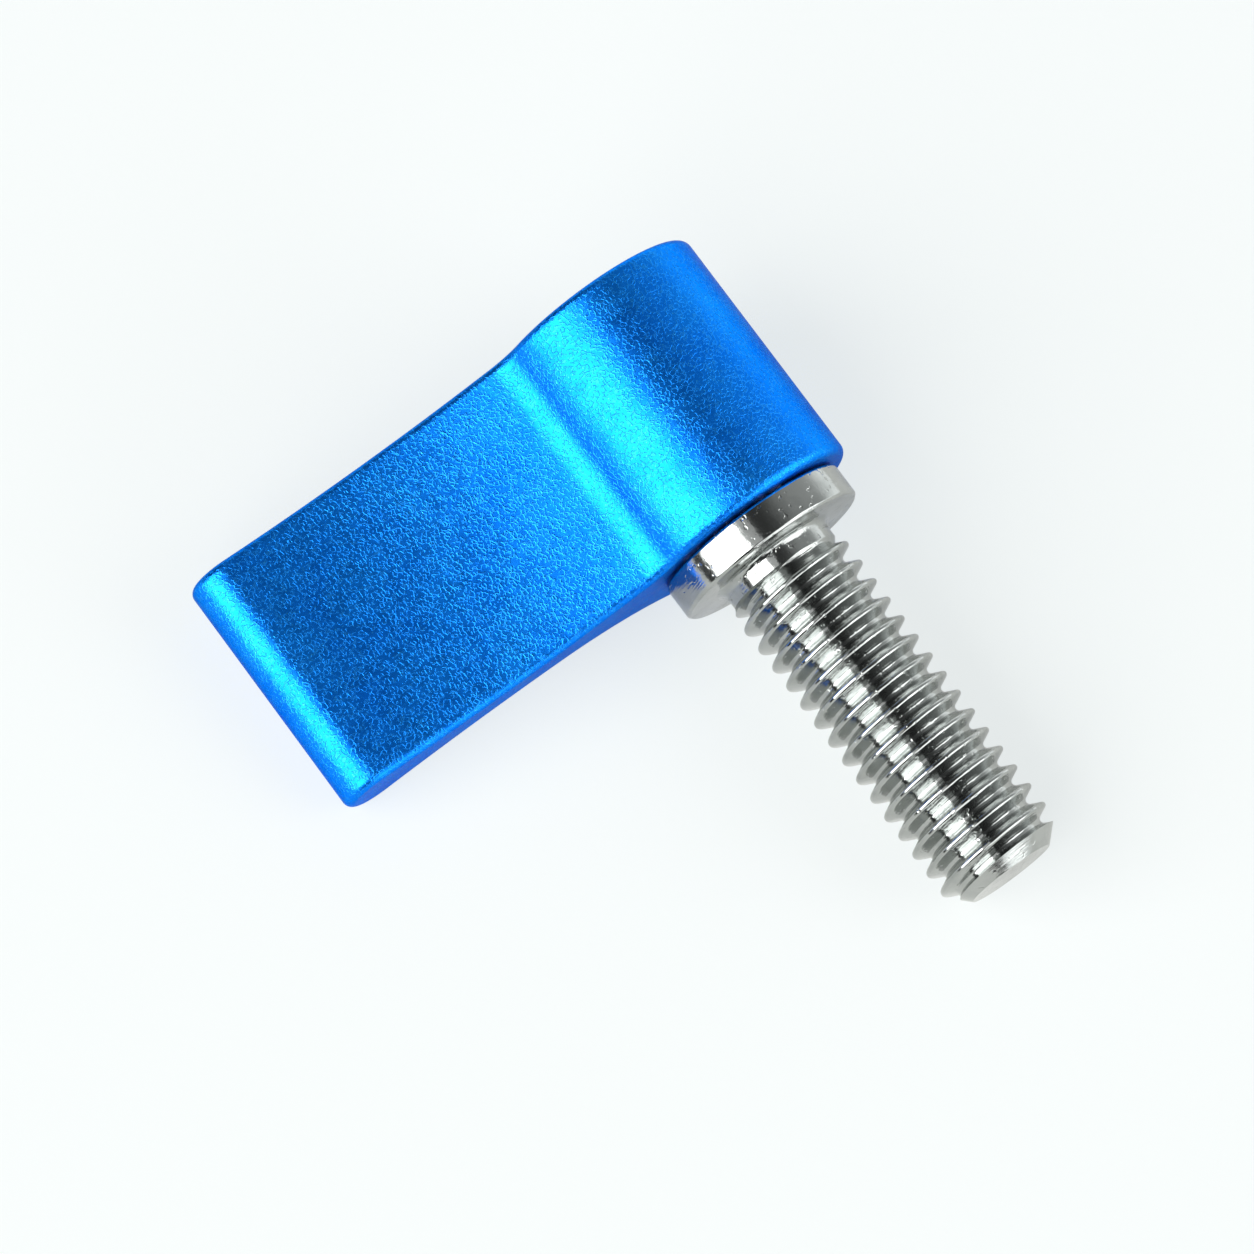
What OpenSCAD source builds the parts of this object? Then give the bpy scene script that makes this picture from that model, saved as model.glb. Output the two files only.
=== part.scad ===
// L-handle thumb screw, all sizes in millimetres.
// A flanged stud carries a lift-and-turn lever. The lever's toothed socket sits on the stud's toothed
// head, a spring holds it there, and a screw in the stud's end keeps lever and spring on.
// It lies as it rests on a table: +Y towards the screw's tip, +X towards the blade's end, +Z up.

/* [Lever] */
// diameter of the round hub
hub_d = 10.4; // [10:0.1:12]
// width of hub and blade, along the screw
lever_w = 11.65; // [11.4:0.05:14]
// screw axis to the end of the blade
reach = 21.1; // [19:0.1:34]
// rounding of the rims on both end faces
rim_r = 0.4; // [0.2:0.05:0.5]

/* [Blade] */
// thickness at the waist, where the blade is thinnest
waist_t = 2.2; // [1.8:0.05:3]
// screw axis to the waist
waist_x = 12.75; // [11.75:0.25:13.5]
// radius of the two hollow faces
face_r = 39; // [34:1:60]
// height of the blade's middle plane above the screw axis
blade_rise = 0.78; // [0:0.02:1]
// radius that leads the upper face into the hub
neck_upper_r = 2.3; // [1.5:0.1:6]
// radius that leads the under face into the hub
neck_under_r = 9; // [6:0.25:10]

/* [Stud] */
// outside diameter of the thread
thread_d = 5.85; // [5.8:0.01:5.97]
// pitch of the thread
thread_pitch = 1; // [0.75:0.25:1]
// length under the flange
shank_l = 17; // [10:0.5:40]
// plain neck between flange and thread
neck_l = 1.1; // [0.8:0.1:2]
// how much less the neck measures across than the thread, in pitches
neck_less = 0.55; // [0.4:0.05:0.7]
// rounding where the neck runs into the flange
neck_round = 0.4; // [0.3:0.05:0.5]
// flat on the end of the thread
tip_d = 4.04; // [3.6:0.02:4.6]
// diameter of the flange
flange_d = 8.95; // [8.4:0.05:9.6]
// thickness of the flange
flange_t = 1.6; // [1.2:0.05:2.4]
// broken edges of the flange
flange_edge = 0.12; // [0.05:0.01:0.2]

/* [Index head] */
// teeth around the head, one position of the lever for each
tooth_n = 24; // [12:12:24]
// diameter over the teeth
head_d = 6.8; // [6.4:0.05:7]
// depth of a tooth
tooth_h = 0.4; // [0.3:0.05:0.5]
// length of the teeth
head_l = 2.2; // [1.8:0.05:2.3]
// diameter of the spigot that guides the lever
spigot_d = 5; // [4.6:0.05:5.2]
// length of the spigot
spigot_l = 6.65; // [6.2:0.05:7]

/* [Spring] */
// wire diameter
wire_d = 0.4; // [0.3:0.02:0.44]
// coils, end coils included
coil_n = 4; // [3:0.5:4]
// air between the spring's inside and the spigot
spring_air = 0.2; // [0.1:0.02:0.3]
// facets around the wire
wire_sides = 8; // [6:1:10]

/* [Retaining screw] */
// diameter of the head
cap_d = 7; // [6.6:0.05:7.2]
// thickness of the head
cap_t = 1.9; // [1.6:0.05:2.2]
// diameter of the shank
pin_d = 2.96; // [2.4:0.02:3]
// length of the shank
pin_l = 5; // [3:0.25:6]
// key size of the hex socket
socket_af = 2; // [1.5:0.1:2.5]
// depth of the hex socket
socket_h = 1.1; // [0.8:0.05:1.3]
// broken edges of head and shank
cap_edge = 0.3; // [0.1:0.05:0.4]
// room in the hole past the shank's end
pin_room = 0.5; // [0.2:0.1:1]

/* [Fits] */
// air between the hub and the flange
collar_gap = 0.1; // [0.08:0.01:0.3]
// air all round between the two sets of teeth
tooth_gap = 0.06; // [0.04:0.01:0.08]
// air between the spigot and the web's hole
spigot_gap = 0.05; // [0.02:0.01:0.09]
// air between the retaining screw and its hole
pin_gap = 0.02; // [0.01:0.01:0.04]
// air where two pieces bear on each other
seat_gap = 0.02; // [0.01:0.01:0.04]
// web that the spring presses on
web_t = 1.5; // [1:0.05:1.7]
// diameter of the spring's chamber
chamber_d = 7.6; // [7.4:0.05:8]
// broken edge at the chamber's mouth
mouth_edge = 0.3; // [0.1:0.05:0.4]

/* [Hidden] */
$fn = 72;
blue = [0.03, 0.30, 0.78];
plated = [0.74, 0.75, 0.76];
spring_grey = [0.55, 0.56, 0.58];
cap_grey = [0.62, 0.63, 0.65];

// Heights run from the flange's seating face, up into the lever.
lever_z = flange_t + collar_gap;
head_top = flange_t + head_l;
web_z = head_top + seat_gap;
chamber_z = web_z + web_t;
spigot_top = head_top + spigot_l;
lever_top = lever_z + lever_w;

// The blade's side view: two hollow faces, a round end and two necks, each tangent to the next
// but for a lap of a few microns, which lets them join cleanly.
lap = 0.006;
rim_dip = rim_r / 100;

// How far a cut runs past the face that it starts from.
past = 1;
hub_r = hub_d / 2;
waist_h = waist_t / 2;
blade_l = reach - waist_x;
end_r = lap + (blade_l * blade_l + 2 * face_r * waist_h + waist_h * waist_h) / (2 * (face_r + blade_l));
hub_c = [0, 0];
end_c = [reach - end_r, blade_rise];
upper_c = [waist_x, blade_rise + waist_h + face_r];
under_c = [waist_x, blade_rise - waist_h - face_r];
neck_upper_c = meet(upper_c, hub_r + neck_upper_r - lap, face_r - neck_upper_r + lap, 1);
neck_under_c = meet(under_c, hub_r + neck_under_r - lap, face_r - neck_under_r + lap, -1);

// The neck, and the slopes at the two ends of the thread.
neck_d = thread_d - neck_less * thread_pitch;
tip_edge = (thread_d - tip_d) / 2;
lead_in = (thread_d - neck_d) / 2;

// At rest the hub's lower rim, the blade's end and the screw's tip touch the table.
roll = heading(hub_c, end_c) + asin((hub_r - end_r) / norm(end_c));
prop_l = lever_z + rim_r + shank_l - tip_edge;
prop_h = hub_r - rim_r - thread_d / 2;
tilt = atan2(prop_h, prop_l) + asin(rim_r / norm([prop_l, prop_h]));

// The middle of its box on the table is the origin.
end_x = norm(end_c) * cos(heading(hub_c, end_c) - roll) + end_r;
tip_y = shank_l * cos(tilt) + tip_d / 2 * sin(tilt);
back_y = (lever_top - rim_r) * cos(tilt) + (hub_r - rim_r) * sin(tilt) + rim_r;
mid_x = (end_x - hub_r) / 2;
mid_y = (tip_y - back_y) / 2;
seat_h = thread_d / 2 * cos(tilt) + (shank_l - tip_edge) * sin(tilt);

// Spring between the web and the retaining screw's head.
coil_r = spigot_d / 2 + spring_air + wire_d / 2;
spring_z = chamber_z + seat_gap;
spring_l = spigot_top - spring_z - seat_gap;
coil_steps = 24;
end_turn = 0.5;

// Direction from a to b, in degrees.
function heading(a, b) = atan2(b[1] - a[1], b[0] - a[0]);

// Point at a distance from c, towards a heading.
function along(c, distance, angle) = c + distance * [cos(angle), sin(angle)];

// Centre that lies r0 from the hub's axis and r1 from c, on the blade's side.
function meet(c, r0, r1, side) =
    let(d = norm(c))
    let(a = (r0 * r0 - r1 * r1 + d * d) / (2 * d))
    let(h = sqrt(r0 * r0 - a * a))
    let(u = c / d)
    a * u + side * h * [u[1], -u[0]];

// Lays a piece that was drawn along the screw on the table.
module lying() {
    translate([-mid_x, -mid_y, seat_h])
    rotate([90 - tilt, 0, 0])
    rotate([0, 0, -roll])
    children();
}

// Side of the lever's rims: a round at both ends of its width, at a distance x from the axis of turning.
module rim_rounds(x) {
    for (z = [rim_r - rim_dip, lever_w - rim_r + rim_dip])
        translate([x, z])
        circle(rim_r);
}

// Round of radius r about c, as wide as the lever, with rounded rims.
module rim_disc(c, r) {
    translate([c[0], c[1], 0])
    rotate_extrude()
    intersection() {
        square([r, lever_w]);
        union() {
            translate([0, -rim_r])
            square([r - rim_r, lever_w + 2 * rim_r]);
            translate([0, rim_r - rim_dip])
            square([r, lever_w - 2 * rim_r + 2 * rim_dip]);
            rim_rounds(r - rim_r);
        }
    }
}

// What a hollow of radius r about c takes away, flared at both ends so that its rims come out rounded.
module rim_hollow(c, r) {
    translate([c[0], c[1], 0])
    rotate_extrude($fn = 180)
    difference() {
        translate([0, -rim_r])
        square([r + rim_r, lever_w + 2 * rim_r]);
        translate([r, rim_r - rim_dip])
        square([2 * rim_r, lever_w - 2 * rim_r + 2 * rim_dip]);
        rim_rounds(r + rim_r);
    }
}

// The lever before its hub is bored, its lower face at height 0.
module lever_blank() {
    a_upper = heading(upper_c, end_c);
    a_under = heading(under_c, end_c);
    rim_disc(hub_c, hub_r);
    rim_disc(end_c, end_r);
    difference() {
        linear_extrude(lever_w)
        polygon([
            [0, -hub_r],
            along(under_c, face_r - past, a_under),
            end_c,
            along(upper_c, face_r - past, a_upper),
            [0, hub_r]
        ]);
        rim_hollow(upper_c, face_r);
        rim_hollow(under_c, face_r);
    }
    neck(neck_upper_c, neck_upper_r, upper_c);
    neck(neck_under_c, neck_under_r, under_c);
}

// Fillet of radius r about c, between the hub and the blade's face about face_c.
module neck(c, r, face_c) {
    difference() {
        linear_extrude(lever_w)
        polygon([hub_c, c, along(face_c, face_r + waist_h, heading(face_c, c))]);
        rim_hollow(c, r);
    }
}

// Outline of the index teeth, grown by a gap for the socket.
module tooth_ring(gap) {
    polygon([
        for (i = [0 : 2 * tooth_n - 1])
            along(hub_c, head_d / 2 + gap - (i % 2) * tooth_h, i * 180 / tooth_n)
    ]);
}

// Blue lever: hub and blade in one, bored for the stud's head, the spigot and the spring.
module lever_handle() {
    color(blue)
    lying()
    difference() {
        translate([0, 0, lever_z])
        lever_blank();
        translate([0, 0, lever_z - past])
        linear_extrude(web_z - lever_z + past)
        tooth_ring(tooth_gap);
        translate([0, 0, lever_z])
        cylinder(d = spigot_d + 2 * spigot_gap, h = lever_w);
        translate([0, 0, chamber_z])
        cylinder(d = chamber_d, h = lever_w);
        translate([0, 0, lever_top - mouth_edge])
        cylinder(d1 = chamber_d, d2 = chamber_d + 4 * mouth_edge, h = 2 * mouth_edge);
    }
}

// Plated stud: threaded shank, neck, flange, toothed head and spigot in one.
// The thread is left plain at its outside diameter.
module threaded_stud() {
    color(plated)
    lying()
    difference() {
        union() {
            rotate_extrude()
            polygon([
                [0, -shank_l],
                [tip_d / 2, -shank_l],
                [thread_d / 2, tip_edge - shank_l],
                [thread_d / 2, -neck_l - lead_in],
                [neck_d / 2, -neck_l],
                each [for (a = [0 : 15 : 90])
                    [neck_d / 2 + neck_round * (1 - cos(a)), -neck_round * (1 - sin(a))]],
                [flange_d / 2 - flange_edge, 0],
                [flange_d / 2, flange_edge],
                [flange_d / 2, flange_t - flange_edge],
                [flange_d / 2 - flange_edge, flange_t],
                [spigot_d / 2, flange_t],
                [spigot_d / 2, spigot_top],
                [0, spigot_top]
            ]);
            translate([0, 0, flange_t])
            linear_extrude(head_l)
            tooth_ring(0);
        }
        translate([0, 0, spigot_top - pin_l - pin_room])
        cylinder(d = pin_d + 2 * pin_gap, h = pin_l + pin_room + past);
    }
}

// Share of the spring's height that the wire has climbed after t turns.
function climb(t) = min(1, max(0, (t - end_turn) / (coil_n - 2 * end_turn)));

// Point on the wire's skin.
function wire_point(t, side) =
    let(r = coil_r + wire_d / 2 * cos(side))
    [
        r * cos(360 * t),
        r * sin(360 * t),
        wire_d / 2 * (1 + sin(side)) + (spring_l - wire_d) * climb(t)
    ];

// Compression spring, its end coils laid flat on the web and under the retaining screw's head.
module return_spring() {
    rings = coil_n * coil_steps;
    points = [
        for (i = [0 : rings], j = [0 : wire_sides - 1])
            wire_point(i / coil_steps, 360 * j / wire_sides)
    ];
    sides = [
        for (i = [0 : rings - 1], j = [0 : wire_sides - 1])
            let(k = (j + 1) % wire_sides)
            let(p = i * wire_sides)
            let(q = p + wire_sides)
            each [[p + j, q + j, q + k], [p + j, q + k, p + k]]
    ];
    first = [for (j = [0 : wire_sides - 1]) j];
    last = [for (j = [wire_sides - 1 : -1 : 0]) rings * wire_sides + j];
    color(spring_grey)
    lying()
    translate([0, 0, spring_z])
    polyhedron(points, concat([first], sides, [last]));
}

// Socket-head screw that holds the spring and the lever on the stud.
module retaining_screw() {
    color(cap_grey)
    lying()
    translate([0, 0, spigot_top])
    difference() {
        rotate_extrude()
        polygon([
            [0, -pin_l],
            [pin_d / 2 - cap_edge, -pin_l],
            [pin_d / 2, cap_edge - pin_l],
            [pin_d / 2, 0],
            [cap_d / 2, 0],
            [cap_d / 2, cap_t - cap_edge],
            [cap_d / 2 - cap_edge, cap_t],
            [0, cap_t]
        ]);
        translate([0, 0, cap_t - socket_h])
        cylinder(r = socket_af / sqrt(3), h = socket_h + past, $fn = 6);
    }
}

lever_handle();
threaded_stud();
return_spring();
retaining_screw();
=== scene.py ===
import math

import bpy
from mathutils import Matrix, Vector


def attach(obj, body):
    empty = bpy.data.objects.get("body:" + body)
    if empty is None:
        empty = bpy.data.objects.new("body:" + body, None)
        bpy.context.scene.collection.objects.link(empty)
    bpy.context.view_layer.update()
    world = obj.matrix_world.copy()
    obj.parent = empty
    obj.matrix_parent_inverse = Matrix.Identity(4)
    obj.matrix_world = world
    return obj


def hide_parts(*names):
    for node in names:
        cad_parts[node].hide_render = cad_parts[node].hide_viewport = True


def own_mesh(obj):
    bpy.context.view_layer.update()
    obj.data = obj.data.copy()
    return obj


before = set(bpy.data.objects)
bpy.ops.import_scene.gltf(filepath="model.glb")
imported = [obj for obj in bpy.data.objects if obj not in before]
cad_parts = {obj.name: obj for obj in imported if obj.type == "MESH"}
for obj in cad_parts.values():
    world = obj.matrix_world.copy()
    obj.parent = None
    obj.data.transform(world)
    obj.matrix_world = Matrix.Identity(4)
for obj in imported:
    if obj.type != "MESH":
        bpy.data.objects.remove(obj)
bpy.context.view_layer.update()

print("frame loaded:", sorted(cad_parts))

# The screw is drawn upright in millimetres: z up from the flange's seating face into the lever,
# x along the blade. lieDown() then lays a finished piece on the table, in metres.
lying = {
    "roll": 12.7787,  # degrees, blade's end down to the table
    "tilt": 7.1366,  # degrees, screw's tip down to the table
    "seat": (-7.79553, -1.63662, 4.90192),  # where the flange's seating face ends up
    "mm": 0.001,
}


def liePlace():
    turn = Matrix.Rotation(math.radians(90 - lying["tilt"]), 4, "X")
    roll = Matrix.Rotation(math.radians(-lying["roll"]), 4, "Z")
    move = Matrix.Translation(Vector(lying["seat"]) * lying["mm"])
    return move @ turn @ roll @ Matrix.Scale(lying["mm"], 4)


def pick(obj):
    if bpy.context.object and bpy.context.object.mode != "OBJECT":
        bpy.ops.object.mode_set(mode="OBJECT")
    bpy.ops.object.select_all(action="DESELECT")
    obj.select_set(True)
    bpy.context.view_layer.objects.active = obj


def edit(obj):
    pick(obj)
    bpy.ops.object.mode_set(mode="EDIT")


def done():
    bpy.ops.object.mode_set(mode="OBJECT")


def selectWhere(obj, kind, test):
    # selects the verts, edges or faces of obj that pass the test, and leaves edit mode on
    bpy.ops.mesh.select_mode(type=kind)
    bpy.ops.mesh.select_all(action="DESELECT")
    done()
    mesh = obj.data
    parts = {"VERT": mesh.vertices, "EDGE": mesh.edges, "FACE": mesh.polygons}[kind]
    for part in parts:
        part.select = test(mesh, part)
    bpy.ops.object.mode_set(mode="EDIT")


def edgeMiddle(mesh, e):
    return (mesh.vertices[e.vertices[0]].co + mesh.vertices[e.vertices[1]].co) / 2


def closeUp(near=1e-4):
    # welds what lies together and turns all faces outwards
    bpy.ops.mesh.select_all(action="SELECT")
    bpy.ops.mesh.remove_doubles(threshold=near)
    bpy.ops.mesh.normals_make_consistent(inside=False)


def startPoint(name, x, y, z):
    # a plane drawn together to one point, which the arcs and profiles then grow from
    bpy.ops.object.select_all(action="DESELECT")
    bpy.ops.mesh.primitive_plane_add(size=1, location=(0, 0, 0))
    obj = bpy.context.object
    obj.name = name
    obj.data.name = name
    bpy.ops.object.mode_set(mode="EDIT")
    bpy.ops.mesh.select_mode(type="VERT")
    bpy.ops.mesh.select_all(action="SELECT")
    bpy.ops.mesh.merge(type="CENTER")
    bpy.ops.transform.translate(value=(x, y, z))
    return obj


def turned(name, profile, steps):
    # lathe work: the profile (radius, height) drawn point by point, then spun all round
    r0, z0 = profile[0]
    obj = startPoint(name, r0, 0, z0)
    for (ra, za), (rb, zb) in zip(profile, profile[1:]):
        bpy.ops.mesh.extrude_region_move(TRANSFORM_OT_translate={"value": (rb - ra, 0, zb - za)})
    bpy.ops.mesh.select_all(action="SELECT")
    bpy.ops.mesh.spin(steps=steps, angle=2 * math.pi, center=(0, 0, 0), axis=(0, 0, 1))
    closeUp()
    done()
    return obj


def corner(r, z, radius, start, end, steps):
    # points of a small rounding about (r, z), angles in degrees
    angles = [math.radians(start + (end - start) * i / steps) for i in range(steps + 1)]
    return [(r + radius * math.cos(a), z + radius * math.sin(a)) for a in angles]


def boolean(obj, tool, operation):
    pick(obj)
    bpy.ops.object.modifier_add(type="BOOLEAN")
    mod = obj.modifiers[-1]
    mod.operation = operation
    mod.solver = "EXACT"
    mod.object = tool
    bpy.ops.object.modifier_apply(modifier=mod.name)
    bpy.data.objects.remove(tool)


def toothRing(name, radius, depth, teeth, bottom, height):
    # a ring of teeth: a circle whose every second point is drawn in, filled and pulled up
    bpy.ops.object.select_all(action="DESELECT")
    bpy.ops.mesh.primitive_circle_add(
        vertices=2 * teeth, radius=radius, fill_type="NGON", location=(0, 0, bottom))
    obj = bpy.context.object
    obj.name = name
    bpy.ops.object.transform_apply(location=True, rotation=True, scale=True)
    bpy.ops.object.mode_set(mode="EDIT")
    step = math.pi / teeth
    first = {i for i, v in enumerate(obj.data.vertices)
             if round(math.atan2(v.co.y, v.co.x) / step) % 2}
    selectWhere(obj, "VERT", lambda mesh, v: v.index in first)
    inner = (radius - depth) / radius
    bpy.ops.transform.resize(value=(inner, inner, 1), center_override=(0, 0, bottom))
    bpy.ops.mesh.select_all(action="SELECT")
    bpy.ops.mesh.extrude_region_move(TRANSFORM_OT_translate={"value": (0, 0, height)})
    closeUp()
    done()
    return obj


def lieDown(obj, name, smooth):
    # on the table, in metres, with its place in the mesh
    pick(obj)
    obj.name = name
    obj.data.name = name
    obj.matrix_world = liePlace()
    bpy.ops.object.transform_apply(location=True, rotation=True, scale=True)
    bpy.ops.object.shade_smooth_by_angle(angle=math.radians(smooth))
    return obj


def dress(obj, material, body, slot, *nodes):
    obj.data.materials.clear()
    obj.data.materials.append(material)
    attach(obj, body)
    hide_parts(*nodes)
    print("made", obj.name, len(obj.data.polygons), "faces")


lever = {
    "hubR": 5.2, "bottom": 1.7, "width": 11.65, "reach": 21.1, "rim": 0.4, "rimSteps": 8,
    "waistT": 2.2, "waistX": 12.75, "faceR": 39, "rise": 0.78,
    "neckUpperR": 2.3, "neckUnderR": 9,
    "arcSteps": {"hub": 150, "neck": 48, "face": 36, "end": 56},
    "socketR": 3.46, "toothH": 0.4, "teeth": 24, "webZ": 3.82, "webHoleR": 2.55,
    "chamberZ": 5.32, "chamberR": 3.8, "mouth": 0.3, "boreSteps": 128,
    "air": 0.02,  # between the web, the spring and the retainer's head
    "faceInset": 0.04, "past": 1, "smooth": 32,  # past: how far a cutting tool sticks out
}


def heading(a, b):
    return math.atan2(b[1] - a[1], b[0] - a[0])


def neckCentre(c, r0, r1, side):
    # r0 from the hub's axis and r1 from c
    far = math.hypot(*c)
    near = (r0 * r0 - r1 * r1 + far * far) / (2 * far)
    off = math.sqrt(r0 * r0 - near * near)
    ux, uy = c[0] / far, c[1] / far
    return (near * ux + side * off * uy, near * uy - side * off * ux)


def shortTurn(a, b, way):
    # angle from a to b, turning only one way
    turn = (b - a) % (2 * math.pi)
    return turn if way > 0 else turn - 2 * math.pi


def makeLever():
    p = lever
    hub, half, blade = (0, 0), p["waistT"] / 2, p["reach"] - p["waistX"]
    endR = (blade ** 2 + 2 * p["faceR"] * half + half ** 2) / (2 * (p["faceR"] + blade))
    end = (p["reach"] - endR, p["rise"])
    upper = (p["waistX"], p["rise"] + half + p["faceR"])
    under = (p["waistX"], p["rise"] - half - p["faceR"])
    neckUpper = neckCentre(upper, p["hubR"] + p["neckUpperR"], p["faceR"] - p["neckUpperR"], 1)
    neckUnder = neckCentre(under, p["hubR"] + p["neckUnderR"], p["faceR"] - p["neckUnderR"], -1)
    top = p["bottom"] + p["width"]
    steps = p["arcSteps"]
    arcs = [  # centre, from, to, way round, steps
        (hub, heading(hub, neckUpper), heading(hub, neckUnder), 1, steps["hub"]),
        (neckUnder, heading(neckUnder, hub), heading(under, neckUnder), -1, steps["neck"]),
        (under, heading(under, neckUnder), heading(under, end), -1, steps["face"]),
        (end, heading(end, under), heading(end, upper), 1, steps["end"]),
        (upper, heading(upper, end), heading(upper, neckUpper), -1, steps["face"]),
        (neckUpper, heading(upper, neckUpper), heading(neckUpper, hub), -1, steps["neck"]),
    ]
    a0 = arcs[0][1]
    obj = startPoint("lever", p["hubR"] * math.cos(a0), p["hubR"] * math.sin(a0), p["bottom"])
    for centre, a, b, way, count in arcs:
        bpy.ops.mesh.spin(steps=count, angle=-shortTurn(a, b, way),
                          center=(centre[0], centre[1], p["bottom"]), axis=(0, 0, 1))
    bpy.ops.mesh.select_all(action="SELECT")
    bpy.ops.mesh.remove_doubles(threshold=1e-3)
    bpy.ops.mesh.edge_face_add()
    bpy.ops.mesh.extrude_region_move(TRANSFORM_OT_translate={"value": (0, 0, p["width"])})
    closeUp()

    def onRim(mesh, e):
        za, zb = (mesh.vertices[i].co.z for i in e.vertices)
        return abs(za - zb) < 1e-4
    selectWhere(obj, "EDGE", onRim)
    bpy.ops.mesh.bevel(offset=p["rim"], segments=p["rimSteps"], profile=0.5, affect="EDGES")
    selectWhere(obj, "FACE", lambda mesh, f: abs(f.normal.z) > 0.999 and f.area > 1)
    bpy.ops.mesh.inset(thickness=p["faceInset"])  # keeps the end faces flat up to the rounding
    closeUp(1e-5)
    done()

    socket = toothRing("socketTool", p["socketR"], p["toothH"], p["teeth"],
                       p["bottom"] - p["past"], p["webZ"] - p["bottom"] + p["past"])
    boolean(obj, socket, "DIFFERENCE")
    bore = turned("boreTool", [
        (0, p["bottom"]), (p["webHoleR"], p["bottom"]), (p["webHoleR"], p["chamberZ"]),
        (p["chamberR"], p["chamberZ"]), (p["chamberR"], top - p["mouth"]),
        (p["chamberR"] + 2 * p["mouth"], top + p["mouth"]), (0, top + p["mouth"]),
    ], p["boreSteps"])
    boolean(obj, bore, "DIFFERENCE")
    return lieDown(obj, "blue_lever", p["smooth"])


stud = {
    "crestR": 2.925, "rootR": 2.32, "pitch": 1.0, "turnSteps": 112, "turns": 19, "turnsBelow": 17,
    "crestFlat": 0.20, "crestRound": 0.07, "rootRound": 0.19, "rootSweep": 60, "rootSteps": 4,
    "crestEase": ((1.04, -0.3), (0.35, 0.25), (0.0, 0.9)),  # inwards and along, times crestRound
    "crestAtBlade": -1.96, "bladeSide": -6.4,  # a crest's height, seen at this angle round the axis
    "tipZ": -17, "tipR": 2.02, "neckR": 2.65, "runOutZ": -0.88, "runOutL": 0.62,
    "neckRound": 0.4, "neckSteps": 10,
    "flangeR": 4.475, "flangeT": 1.6, "flangeEdge": 0.12, "edgeRound": 0.035,
    "headR": 3.4, "headTop": 3.8, "toothH": lever["toothH"], "teeth": lever["teeth"],
    "spigotR": 2.5, "spigotTop": 10.45, "spigotEdge": 0.15, "holeR": 1.5, "holeZ": 4.95, "drillTip": 0.6,
    "overlap": 0.1, "plug": 2, "past": 0.5,  # how far joined parts and tools reach into or past each other
    "steps": 160, "toolSteps": 128, "holeSteps": 64, "smooth": 28,
}


def threadProfile():
    # one pitch from root to root: rounded root, straight flanks, narrow crest with eased edges
    p = stud
    half = p["pitch"] / 2
    r, e = p["rootRound"], p["crestRound"]
    count = p["rootSteps"]
    angles = [math.radians(p["rootSweep"] * i / count) for i in range(count + 1)]
    root = [(p["rootR"] + r * (1 - math.cos(a)), r * math.sin(a)) for a in angles]
    edge = half - p["crestFlat"] / 2
    crest = [(p["crestR"] - e * inwards, edge + e * along) for inwards, along in p["crestEase"]]
    rise = root + crest
    return rise + [(x, p["pitch"] - z) for x, z in reversed(rise)]


def makeThread():
    p = stud
    phase = p["crestAtBlade"] - p["bladeSide"] / 360 * p["pitch"]
    low = phase - (p["turnsBelow"] + 0.5) * p["pitch"]
    high = low + p["turns"] * p["pitch"]
    points = [(r, z + low) for r, z in threadProfile()]
    obj = startPoint("thread", points[0][0], 0, points[0][1])
    for (ra, za), (rb, zb) in zip(points, points[1:]):
        bpy.ops.mesh.extrude_region_move(TRANSFORM_OT_translate={"value": (rb - ra, 0, zb - za)})
    done()
    bpy.ops.object.modifier_add(type="SCREW")
    mod = obj.modifiers[-1]
    mod.axis, mod.angle, mod.screw_offset = "Z", 2 * math.pi, p["pitch"]
    mod.steps = mod.render_steps = p["turnSteps"]
    mod.iterations = p["turns"]
    bpy.ops.object.modifier_apply(modifier=mod.name)
    edit(obj)
    closeUp()
    for z, far in ((low, -1), (high, 1)):  # a cone to the axis closes each end
        rims = boundary(obj)

        def openEdge(mesh, e, middle=z + p["pitch"] / 2, near=1.3 * p["pitch"]):
            return e.index in rims and abs(edgeMiddle(mesh, e).z - middle) < near
        selectWhere(obj, "EDGE", openEdge)
        bpy.ops.mesh.extrude_edges_move(TRANSFORM_OT_translate={"value": (0, 0, far)})
        bpy.ops.mesh.merge(type="CENTER")
    closeUp()
    done()
    return obj


def boundary(obj):
    done()
    count = {}
    for f in obj.data.polygons:
        for key in f.edge_keys:
            count[key] = count.get(key, 0) + 1
    found = {e.index for e in obj.data.edges if count.get(tuple(sorted(e.vertices)), 0) == 1}
    bpy.ops.object.mode_set(mode="EDIT")
    return found


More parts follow.
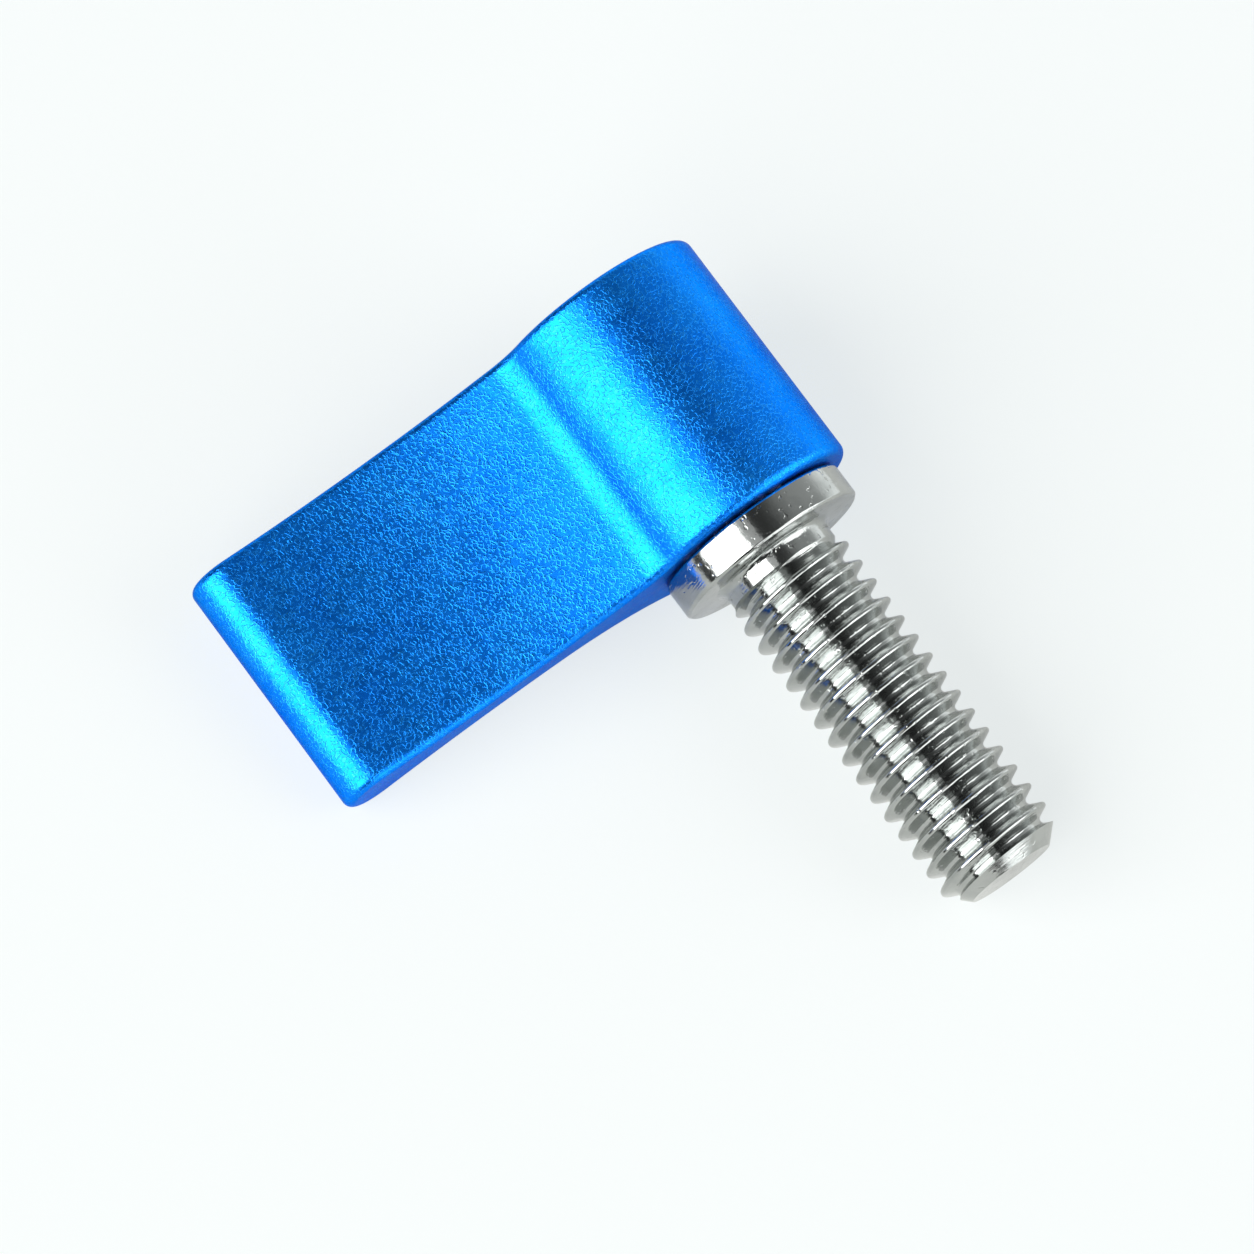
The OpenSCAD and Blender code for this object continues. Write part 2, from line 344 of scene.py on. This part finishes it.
def makeStud():
    p = stud
    thread = makeThread()
    over = p["overlap"]
    runR, runTop = p["crestR"] + over, p["runOutZ"] + over
    envelope = turned("threadTool", [
        (0, p["tipZ"]), (p["tipR"], p["tipZ"]), (runR, p["tipZ"] + runR - p["tipR"]),  # 45 degree chamfer
        (runR, p["runOutZ"] - p["runOutL"]), (p["neckR"] - over / 2, runTop), (0, runTop),
    ], p["toolSteps"])
    boolean(thread, envelope, "INTERSECT")
    e, r = p["flangeEdge"], p["flangeR"]
    core, plug = p["rootR"] - over, p["runOutZ"] - p["plug"]
    ease = p["spigotEdge"]
    body = turned("stud", [
        (0, plug), (core, plug), (core, p["runOutZ"] - p["runOutL"]), (p["neckR"], p["runOutZ"]),
        *corner(p["neckR"] + p["neckRound"], -p["neckRound"], p["neckRound"], 180, 90, p["neckSteps"]),
        (r - e, 0), (r, e), (r, p["flangeT"] - e), (r - e, p["flangeT"]),
        (p["spigotR"], p["flangeT"]), (p["spigotR"], p["spigotTop"] - ease),
        (p["spigotR"] - ease, p["spigotTop"]), (0, p["spigotTop"]),
    ], p["steps"])
    edit(body)
    heights = (0, e, p["flangeT"] - e, p["flangeT"])

    def flangeRim(mesh, edge):
        a, b = (mesh.vertices[i].co for i in edge.vertices)
        flat = abs(a.z - b.z) < 1e-4 and any(abs(a.z - h) < 1e-4 for h in heights)
        return flat and math.hypot(a.x, a.y) > r - 1.5 * e
    selectWhere(body, "EDGE", flangeRim)
    bpy.ops.mesh.bevel(offset=p["edgeRound"], segments=3, profile=0.5, affect="EDGES")
    done()
    head = toothRing("headTool", p["headR"], p["toothH"], p["teeth"],
                     p["flangeT"] - over, p["headTop"] - p["flangeT"] + over)
    boolean(body, head, "UNION")
    boolean(body, thread, "UNION")
    mouth = p["spigotTop"] + p["past"]
    hole = turned("holeTool", [
        (0, p["holeZ"] - p["drillTip"]), (p["holeR"], p["holeZ"]), (p["holeR"], mouth), (0, mouth),
    ], p["holeSteps"])
    boolean(body, hole, "DIFFERENCE")
    return lieDown(body, "plated_stud", p["smooth"])


spring = {
    "bottom": lever["chamberZ"] + lever["air"], "top": stud["spigotTop"] - lever["air"],
    "coilR": 2.9, "wireR": 0.2, "coils": 4, "flatTurn": 0.5,
    "pointsPerTurn": 40, "wireSteps": 3, "lift": 2.3, "smooth": 50,
}


def makeSpring():
    p = spring
    bpy.ops.object.select_all(action="DESELECT")
    bpy.ops.curve.primitive_bezier_circle_add(radius=p["coilR"])
    obj = bpy.context.object
    curve = obj.data
    curve.splines.clear()
    path = curve.splines.new("POLY")
    count = int(p["coils"] * p["pointsPerTurn"])
    path.points.add(count)
    low, high = p["bottom"] + p["wireR"], p["top"] - p["wireR"]
    for i, point in enumerate(path.points):
        t = i / p["pointsPerTurn"]
        share = min(1, max(0, (t - p["flatTurn"]) / (p["coils"] - 2 * p["flatTurn"])))
        a = 2 * math.pi * t
        point.co = (p["coilR"] * math.cos(a), p["coilR"] * math.sin(a), low + (high - low) * share, 1)
    curve.dimensions = "3D"
    curve.bevel_depth = p["wireR"]
    curve.bevel_resolution = p["wireSteps"]
    curve.use_fill_caps = True
    pick(obj)
    bpy.ops.object.convert(target="MESH")
    obj = bpy.context.object
    edit(obj)
    closeUp()
    done()
    return lieDown(obj, "return_coil", p["smooth"])


retainer = {
    "z": stud["spigotTop"], "headR": 3.5, "headT": 1.9, "edge": 0.3, "underEdge": 0.08,
    "pinR": 1.48, "pinL": 5, "edgeSteps": 6, "steps": 96, "smooth": 30,
    "socketAf": 2.0, "socketH": 1.1, "drillInset": 0.12, "drillH": 0.25, "drillEnd": 0.3, "past": 0.5,
}


def makeRetainer():
    p = retainer
    z, top, r, e = p["z"], p["z"] + p["headT"], p["headR"], p["edge"]
    obj = turned("retainer", [
        (0, z - p["pinL"]), (p["pinR"] - e, z - p["pinL"]), (p["pinR"], z - p["pinL"] + e), (p["pinR"], z),
        (r - p["underEdge"], z), (r, z + p["underEdge"]),
        *corner(r - e, top - e, e, 0, 90, p["edgeSteps"]), (0, top),
    ], p["steps"])
    bpy.ops.object.select_all(action="DESELECT")
    deep = p["socketH"] + p["past"]
    bpy.ops.mesh.primitive_cylinder_add(vertices=6, radius=p["socketAf"] / math.sqrt(3), depth=deep,
                                        location=(0, 0, top + p["past"] - deep / 2))
    tool = bpy.context.object
    bpy.ops.object.transform_apply(location=True, rotation=True, scale=True)
    edit(tool)
    selectWhere(tool, "FACE", lambda mesh, f: f.normal.z < -0.9)  # the drill's cone at the bottom
    bpy.ops.mesh.inset(thickness=p["drillInset"])
    bpy.ops.mesh.extrude_region_move(TRANSFORM_OT_translate={"value": (0, 0, -p["drillH"])})
    bpy.ops.transform.resize(value=(p["drillEnd"], p["drillEnd"], 1))
    done()
    boolean(obj, tool, "DIFFERENCE")
    return lieDown(obj, "retaining_screw_cap", p["smooth"])


def newMaterial(name):
    mat = bpy.data.materials.new(name)
    mat.use_nodes = True
    nodes, links = mat.node_tree.nodes, mat.node_tree.links
    shader = nodes["Principled BSDF"]
    place = nodes.new("ShaderNodeTexCoord").outputs["Object"]
    return mat, nodes, links, shader, place


def noiseNode(nodes, links, place, scale, detail=2.0, rough=0.5, distort=0.0):
    node = nodes.new("ShaderNodeTexNoise")
    node.inputs["Scale"].default_value = scale
    node.inputs["Detail"].default_value = detail
    node.inputs["Roughness"].default_value = rough
    node.inputs["Distortion"].default_value = distort
    links.new(place, node.inputs["Vector"])
    return node


def cellNode(nodes, links, place, scale, feature):
    node = nodes.new("ShaderNodeTexVoronoi")
    node.feature = feature
    node.inputs["Scale"].default_value = scale
    links.new(place, node.inputs["Vector"])
    return node


def rampNode(nodes, links, source, stops):
    node = nodes.new("ShaderNodeValToRGB")
    marks = node.color_ramp.elements
    while len(marks) < len(stops):
        marks.new(0.5)
    for mark, (at, colour) in zip(marks, stops):
        mark.position = at
        mark.color = (*colour, 1) if len(colour) == 3 else (colour[0], colour[0], colour[0], 1)
    links.new(source, node.inputs["Fac"])
    return node


def blend(nodes, links, mask, share, under, over):
    # lays one colour over another where the mask is white
    part = nodes.new("ShaderNodeMath")
    part.operation = "MULTIPLY"
    part.inputs[1].default_value = share
    links.new(mask, part.inputs[0])
    node = nodes.new("ShaderNodeMix")
    node.data_type = "RGBA"
    links.new(part.outputs["Value"], node.inputs["Factor"])
    links.new(under, node.inputs["A"])
    node.inputs["B"].default_value = (*over, 1)
    return node.outputs["Result"]


def bumpNode(nodes, links, height, strength, distance, normal=None):
    node = nodes.new("ShaderNodeBump")
    node.inputs["Strength"].default_value = strength
    node.inputs["Distance"].default_value = distance
    links.new(height, node.inputs["Height"])
    if normal:
        links.new(normal, node.inputs["Normal"])
    return node.outputs["Normal"]


anodised = {
    # paintedGlint: lighter colour laid on the ridge lines and specks, a painted glint where they catch the
    # light
    "deep": (0.004, 0.202, 0.95), "light": (0.007, 0.255, 1.0), "paintedGlint": (0.05, 0.50, 1.0),
    "edge": (0.45, 0.42, 0.52),  # colour at a glancing look
    "roughness": (0.34, 0.40), "cloud": 420,
    "grain": 5400, "grainWide": 0.15, "grainDepth": 0.000008, "grainShine": 0.28,  # blasted skin, fine ridges; grainShine lightens them with painted glints
    "breaks": 6000, "breakRange": (0.36, 0.50), "drift": 0.0001,  # where the ridges stop, how far they bend
    # specks: small dots painted as glints in the base colour, with no bump under them
    "specks": 4300, "speckWide": 0.14, "speckShine": 0.8,
    "dents": 1500, "dentDepth": 0.000016,
}


def blastedBlue():
    p = anodised
    mat, nodes, links, shader, place = newMaterial("blastedBlueAnodised")
    shader.inputs["Metallic"].default_value = 1.0
    shader.inputs["Specular Tint"].default_value = (*p["edge"], 1)
    cloud = noiseNode(nodes, links, place, p["cloud"], 3.0)
    tone = rampNode(nodes, links, cloud.outputs["Fac"], [(0.3, p["deep"]), (0.7, p["light"])])
    breaks = noiseNode(nodes, links, place, p["breaks"], 0.0)
    bent = nodes.new("ShaderNodeVectorMath")
    bent.operation = "MULTIPLY_ADD"
    links.new(breaks.outputs["Color"], bent.inputs[0])
    bent.inputs[1].default_value = (p["drift"],) * 3
    links.new(place, bent.inputs[2])
    net = cellNode(nodes, links, bent.outputs["Vector"], p["grain"], "DISTANCE_TO_EDGE")
    lines = rampNode(nodes, links, net.outputs["Distance"], [(0.0, (1.0,)), (p["grainWide"], (0.0,))])
    stop, run = p["breakRange"]
    gaps = rampNode(nodes, links, breaks.outputs["Fac"], [(stop, (0.0,)), (run, (1.0,))])
    ridges = nodes.new("ShaderNodeMix")
    ridges.data_type = "RGBA"
    ridges.blend_type = "MULTIPLY"
    ridges.inputs["Factor"].default_value = 1.0
    links.new(lines.outputs["Color"], ridges.inputs["A"])
    links.new(gaps.outputs["Color"], ridges.inputs["B"])
    spots = cellNode(nodes, links, place, p["specks"], "F1")
    specks = rampNode(nodes, links, spots.outputs["Distance"],
                      [(0.6 * p["speckWide"], (1.0,)), (p["speckWide"], (0.0,))])
    colour = tone.outputs["Color"]
    # the ridge lines are lightened in the base colour: painted glints on the blasted skin's ridges, which are
    # also bumped below
    colour = blend(nodes, links, ridges.outputs["Result"], p["grainShine"], colour, p["paintedGlint"])
    # the specks are lightened in the base colour: painted glints of the blasted skin's bumps
    colour = blend(nodes, links, specks.outputs["Color"], p["speckShine"], colour, p["paintedGlint"])
    links.new(colour, shader.inputs["Base Color"])
    dents = noiseNode(nodes, links, place, p["dents"], 1.0)
    low, high = p["roughness"]
    rough = rampNode(nodes, links, dents.outputs["Fac"], [(0.3, (low,)), (0.7, (high,))])
    links.new(rough.outputs["Color"], shader.inputs["Roughness"])
    normal = bumpNode(nodes, links, dents.outputs["Fac"], 1.0, p["dentDepth"])
    normal = bumpNode(nodes, links, ridges.outputs["Result"], 1.0, p["grainDepth"], normal)
    links.new(normal, shader.inputs["Normal"])
    return mat


plated = {
    "tone": (0.435, 0.452, 0.442), "dull": (0.352, 0.370, 0.360), "roughness": (0.07, 0.15), "cloud": 900,
    "specks": 2600, "speckDepth": 0.000008, "lines": 11000, "lineDepth": 0.000011,
    "pits": 3200, "pitDepth": 0.000010, "pitRange": (0.64, 0.70), "lineDrift": 0.0002,
}


def alongThread(nodes, links, place):
    # distance from the screw's axis and height less the thread's climb, so that marks run round with it
    back = liePlace().inverted()
    own = nodes.new("ShaderNodeMapping")
    own.inputs["Location"].default_value = back.to_translation() * lying["mm"]
    own.inputs["Rotation"].default_value = back.to_euler()
    links.new(place, own.inputs["Vector"])
    split = nodes.new("ShaderNodeSeparateXYZ")
    links.new(own.outputs["Vector"], split.inputs["Vector"])

    def calc(kind, one, two):
        node = nodes.new("ShaderNodeMath")
        node.operation = kind
        for socket, value in zip(node.inputs, (one, two)):
            if isinstance(value, float):
                socket.default_value = value
            else:
                links.new(value, socket)
        return node.outputs["Value"]
    x, y, z = (split.outputs[axis] for axis in "XYZ")
    turn = calc("ARCTAN2", y, x)
    climb = calc("MULTIPLY", turn, stud["pitch"] * lying["mm"] / (2 * math.pi))
    reach = calc("SQRT", calc("ADD", calc("MULTIPLY", x, x), calc("MULTIPLY", y, y)), 0.0)
    joined = nodes.new("ShaderNodeCombineXYZ")
    links.new(reach, joined.inputs["X"])
    links.new(calc("SUBTRACT", z, climb), joined.inputs["Y"])
    links.new(calc("MULTIPLY", turn, plated["lineDrift"]), joined.inputs["Z"])
    return joined.outputs["Vector"]


def brightPlate(name, p):
    mat, nodes, links, shader, place = newMaterial(name)
    shader.inputs["Metallic"].default_value = 1.0
    cloud = noiseNode(nodes, links, place, p["cloud"], 4.0)
    tone = rampNode(nodes, links, cloud.outputs["Fac"], [(0.3, p["dull"]), (0.6, p["tone"])])
    links.new(tone.outputs["Color"], shader.inputs["Base Color"])
    smooth, matt = p["roughness"]
    rough = rampNode(nodes, links, cloud.outputs["Fac"], [(0.3, (matt,)), (0.7, (smooth,))])
    links.new(rough.outputs["Color"], shader.inputs["Roughness"])
    specks = noiseNode(nodes, links, place, p["specks"], 3.0, 0.55)
    normal = bumpNode(nodes, links, specks.outputs["Fac"], 1.0, p["speckDepth"])
    if "pits" in p:  # a few small pits, where the noise runs high
        spots = noiseNode(nodes, links, place, p["pits"], 1.0)
        plain, deep = p["pitRange"]
        pits = rampNode(nodes, links, spots.outputs["Fac"], [(plain, (1.0,)), (deep, (0.0,))])
        normal = bumpNode(nodes, links, pits.outputs["Color"], 1.0, p["pitDepth"], normal)
    if "lines" in p:
        lines = noiseNode(nodes, links, alongThread(nodes, links, place), p["lines"], 2.0)
        normal = bumpNode(nodes, links, lines.outputs["Fac"], 1.0, p["lineDepth"], normal)
    links.new(normal, shader.inputs["Normal"])
    return mat


wire = {"tone": (0.56, 0.57, 0.59), "dull": (0.42, 0.43, 0.45), "roughness": (0.22, 0.36),
        "cloud": 900, "specks": 5200, "speckDepth": 0.000003}
cap = {"tone": (0.62, 0.63, 0.65), "dull": (0.50, 0.51, 0.53), "roughness": (0.16, 0.30),
       "cloud": 900, "specks": 3800, "speckDepth": 0.000003}

blue = makeLever()
dress(blue, blastedBlue(), "lever", "lever", "lever_handle")
studPiece = makeStud()
dress(studPiece, brightPlate("brightPlatedSteel", plated), "stud", "stud", "threaded_stud")
coil = makeSpring()
dress(coil, brightPlate("drawnSpringWire", wire), "spring", "spring", "return_spring")
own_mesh(coil)
retainerPiece = makeRetainer()
dress(retainerPiece, brightPlate("platedCapSteel", cap), "stud", "screw", "retaining_screw")

studio = {
    "table": 0.11, "tableColour": (0.78, 0.78, 0.745), "tableRough": 0.9,
    "paper": (0.938, 0.991, 1.0), "paperShare": 0.70, "shineShare": 0.20, "wall": (0.99, 1.0, 1.0),
    "away": 1.5,  # lamps from the part, in metres; leans are degrees from straight above
    "softbox": {"lean": 58, "turn": 0, "size": (1.87, 1.40), "power": 44},
    "spill": {"lean": 26, "turn": 0, "size": (1.87, 0.42), "power": 1.6},
    "tipLamp": {"lean": 76, "turn": 112, "size": (2.0, 0.7), "power": 9},
    "tipWindow": {"lean": 54, "turn": 134, "size": (1.0, 0.95), "power": 7},
    # brightness of the room over the part, from the far side (-90) over the top to the blade's side (90)
    "room": ((-90, 1.5), (-78, 1.05), (-68, 0.60), (-55, 0.49), (-35, 0.43), (-18, 0.26), (-5, 0.11),
             (5, 0.06), (90, 0.06)),
    "roomMost": 1.5, "roomColour": (0.97, 1.0, 1.0),
}


def makeTable():
    bpy.ops.object.select_all(action="DESELECT")
    bpy.ops.mesh.primitive_plane_add(size=studio["table"], location=(0, 0, 0))
    table = bpy.context.object
    table.name = "table"
    mat, nodes, links, shader, place = newMaterial("paleTable")
    shader.inputs["Base Color"].default_value = (*studio["tableColour"], 1)
    shader.inputs["Roughness"].default_value = studio["tableRough"]
    shader.inputs["Specular IOR Level"].default_value = 0.0
    paper = nodes.new("ShaderNodeEmission")  # white sheet, as camera and metal see it
    paper.inputs["Color"].default_value = (*studio["paper"], 1)
    rays = nodes.new("ShaderNodeLightPath")
    share = None
    for kind, part in (("Is Camera Ray", "paperShare"), ("Is Glossy Ray", "shineShare"),
                       ("Is Transmission Ray", "shineShare")):
        times = nodes.new("ShaderNodeMath")
        times.operation = "MULTIPLY_ADD"  # no glass here: a ray is of one kind, and the shares add up
        times.inputs[1].default_value = studio[part]
        times.inputs[2].default_value = 0.0
        links.new(rays.outputs[kind], times.inputs[0])
        if share:
            links.new(share, times.inputs[2])
        share = times.outputs["Value"]
    mix = nodes.new("ShaderNodeMixShader")
    links.new(share, mix.inputs["Fac"])
    links.new(shader.outputs["BSDF"], mix.inputs[1])
    links.new(paper.outputs["Emission"], mix.inputs[2])
    links.new(mix.outputs["Shader"], nodes["Material Output"].inputs["Surface"])
    table.data.materials.append(mat)


def makeLamp(name, place, size, power):
    bpy.ops.object.light_add(type="AREA", location=place)
    lamp = bpy.context.object
    lamp.name = name
    lamp.data.shape = "RECTANGLE"
    lamp.data.size, lamp.data.size_y = size
    lamp.data.energy = power
    lamp.rotation_euler = Vector(place).to_track_quat("Z", "Y").to_euler()


def makeRoom():
    world = bpy.context.scene.world or bpy.data.worlds.new("room")
    bpy.context.scene.world = world
    world.use_nodes = True
    nodes, links = world.node_tree.nodes, world.node_tree.links
    split = nodes.new("ShaderNodeSeparateXYZ")
    links.new(nodes.new("ShaderNodeTexCoord").outputs["Generated"], split.inputs["Vector"])
    lean = nodes.new("ShaderNodeMath")
    lean.operation = "ARCTAN2"
    links.new(split.outputs["X"], lean.inputs[0])
    links.new(split.outputs["Z"], lean.inputs[1])
    spread = nodes.new("ShaderNodeMapRange")
    spread.inputs["From Min"].default_value = -math.pi / 2
    spread.inputs["From Max"].default_value = math.pi / 2
    links.new(lean.outputs["Value"], spread.inputs["Value"])
    stops = [((a + 90) / 180, [c * level / studio["roomMost"] for c in studio["roomColour"]])
             for a, level in studio["room"]]
    shade = rampNode(nodes, links, spread.outputs["Result"], stops)
    back = nodes["Background"]
    links.new(shade.outputs["Color"], back.inputs["Color"])
    back.inputs["Strength"].default_value = studio["roomMost"]
    white = nodes.new("ShaderNodeBackground")  # the camera sees the paper go on past the table
    white.inputs["Color"].default_value = (*studio["wall"], 1)
    mix = nodes.new("ShaderNodeMixShader")
    links.new(nodes.new("ShaderNodeLightPath").outputs["Is Camera Ray"], mix.inputs["Fac"])
    links.new(back.outputs["Background"], mix.inputs[1])
    links.new(white.outputs["Background"], mix.inputs[2])
    links.new(mix.outputs["Shader"], nodes["World Output"].inputs["Surface"])


makeTable()
makeRoom()
for name in ("softbox", "spill", "tipLamp", "tipWindow"):
    box = studio[name]
    lean, turn = math.radians(box["lean"]), math.radians(box["turn"])
    out = studio["away"] * math.sin(lean)
    makeLamp(name, (out * math.cos(turn), out * math.sin(turn), studio["away"] * math.cos(lean)),
             box["size"], box["power"])

view = {
    "place": (0.0958554, 0.0797662, 0.2744795),
    "turn": (24.62723, -5.54402, 142.39281),  # degrees
    "lens": 201.47, "sensor": 36, "clip": (0.01, 20),
}
bpy.ops.object.camera_add(location=view["place"], rotation=[math.radians(a) for a in view["turn"]])
camera = bpy.context.object
camera.name = "photo_camera"
camera.data.lens = view["lens"]
camera.data.sensor_width = view["sensor"]
camera.data.clip_start, camera.data.clip_end = view["clip"]
bpy.context.scene.camera = camera
bpy.context.scene.view_settings.view_transform = "Standard"
print("stage set")
